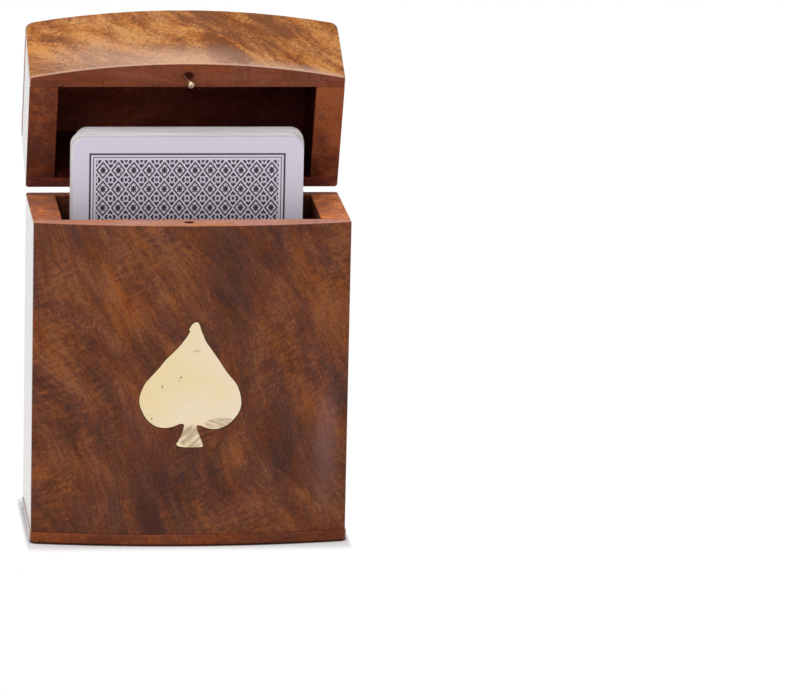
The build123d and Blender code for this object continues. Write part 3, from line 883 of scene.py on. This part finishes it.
def card_paper(name, printed):
    """Coated card: white with a cold cast, its cut edges layered; printed adds the frames on the back."""
    made, tree, shader = new_material(name)
    shader.inputs["IOR"].default_value = 1.3
    plain = millimetres(tree)
    if printed:
        relief = noise(tree, plain, 2.5, 2.0)
        colour = mixed(tree, card_back(tree, plain), mixed(tree, relief, *cool_paper), ink_colour)
    else:
        layered = add_node(tree, "ShaderNodeMapping", Vector=plain, Scale=(0.05, 4.2, 0.05)).outputs[0]
        relief = noise(tree, layered, 1.0, 2.0)
        level = slope(tree, relief, 0.3, 0.6)
        through = add_node(tree, "ShaderNodeSeparateXYZ", Vector=plain).outputs["Y"]
        # Painted shade: the edges darken in bands through the deck's depth.
        for seam, reach, depth in packet_shade_bands:
            off = maths(tree, "ABSOLUTE", maths(tree, "SUBTRACT", through, seam))
            level = maths(tree, "SUBTRACT", level, slope(tree, off, 0.0, reach, depth, 0.0, soft=True))
        colour = mixed(tree, maths(tree, "MAXIMUM", level, 0.0), *cut_edges)
    dress(tree, shader, colour, maths(tree, "MULTIPLY_ADD", relief, 0.2, 0.4), relief, 0.05, 0.00005)
    return made


def card_back(tree, plain):
    """A plain pattern of nested diamonds inside two lines, as a mask of ink, from millimetres."""
    middle = (-1000 * (card_middle.x + front_slip + print_slip), 0, -1000 * card_middle.z)
    folded = vector_maths(tree, "ABSOLUTE", vector_maths(tree, "ADD", plain, middle))
    across, _, up = add_node(tree, "ShaderNodeSeparateXYZ", Vector=folded).outputs
    inward = maths(tree, "MINIMUM", maths(tree, "SUBTRACT", 1000 * card_half, across),
                   maths(tree, "SUBTRACT", 500 * (card_height - card_drop), up))

    def bands(value, soft, *ranges):
        """1 where the value lies in one of the ranges, with soft edges."""
        total = 0.0
        for low, high in ranges:
            for limit, sign in ((low, 1.0), (high, -1.0)):
                step = slope(tree, value, limit - soft, limit + soft)
                total = maths(tree, "MULTIPLY_ADD", step, sign, total)
        return total

    def from_middle(value, pitch):
        """How far the value is from the middle of its cell, from 0 to a half."""
        turn = maths(tree, "FRACT", maths(tree, "MULTIPLY_ADD", value, 1 / pitch, 0.5))
        return maths(tree, "ABSOLUTE", maths(tree, "SUBTRACT", turn, 0.5))

    pitch = 1000 * card_half / 7.5
    aside, above = from_middle(across, pitch), from_middle(up, 1.25 * pitch)
    diamond = maths(tree, "ADD", aside, above)
    petal = maths(tree, "ABSOLUTE", maths(tree, "SUBTRACT", aside, above))
    nests = bands(diamond, 0.025, (-1.0, 0.12), (0.22, 0.40), (0.53, 0.66), (0.80, 2.0))
    slits = bands(diamond, 0.02, (0.22, 0.40), (0.66, 0.80))
    slits = maths(tree, "MULTIPLY", bands(petal, 0.02, (-1.0, 0.05)), slits)
    nests = maths(tree, "ABSOLUTE", maths(tree, "SUBTRACT", nests, slits))
    field = maths(tree, "MULTIPLY", nests, bands(inward, 0.05, (5.9, 100.0)))
    pattern = maths(tree, "ADD", field, bands(inward, 0.05, (4.2, 4.65), (5.15, 5.35)))
    facing = add_node(tree, "ShaderNodeSeparateXYZ", Vector=plain).outputs["Y"]
    return maths(tree, "MULTIPLY", pattern, maths(tree, "LESS_THAN", facing, 1000 * card_low.y + 0.01))


def one_card(x, y, low, high):
    """One card, standing upright with its back to the front, its front face at y."""
    put_down()
    depth = card_thickness - card_gap
    bpy.ops.mesh.primitive_cube_add(size=1, location=(x, y + depth / 2, (low + high) / 2))
    card = bpy.context.object
    card.scale = (2 * card_half, depth, high - low)
    bpy.ops.object.transform_apply(location=True, rotation=True, scale=True)
    edit(card)
    pick(card, "EDGE", lambda e: abs(e.verts[0].co.y - e.verts[1].co.y) > depth / 2)
    bpy.ops.mesh.bevel(offset=card_corner, segments=6, profile=0.5)
    bpy.ops.object.mode_set(mode="OBJECT")
    return card


printed_card = card_paper("printed_card", True)
plain_card = card_paper("plain_card", False)
front_card = one_card(card_middle.x + front_slip, card_low.y, card_low.z, card_high.z - card_drop)
front_card.data.materials.append(printed_card)
finish_piece(front_card, "front_card", "box", "card_stock", "deck_front_card")

for node, name, count, (first_slip, last_slip), drop in packets:
    low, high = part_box(node)
    cards = []
    for number in range(count):
        slip = first_slip + (last_slip - first_slip) * number / count + random.uniform(-0.00012, 0.00012)
        top = high.z - card_drop - drop + random.uniform(-0.00008, 0.00002)
        cards.append(one_card((low.x + high.x) / 2 + slip, low.y + number * card_thickness, low.z, top))
    put_down()
    for card in cards:
        card.select_set(True)
    bpy.context.view_layer.objects.active = cards[0]
    bpy.ops.object.join()
    packet = bpy.context.object
    packet.data.materials.append(plain_card)
    finish_piece(packet, name, "box", "card_stock", node)
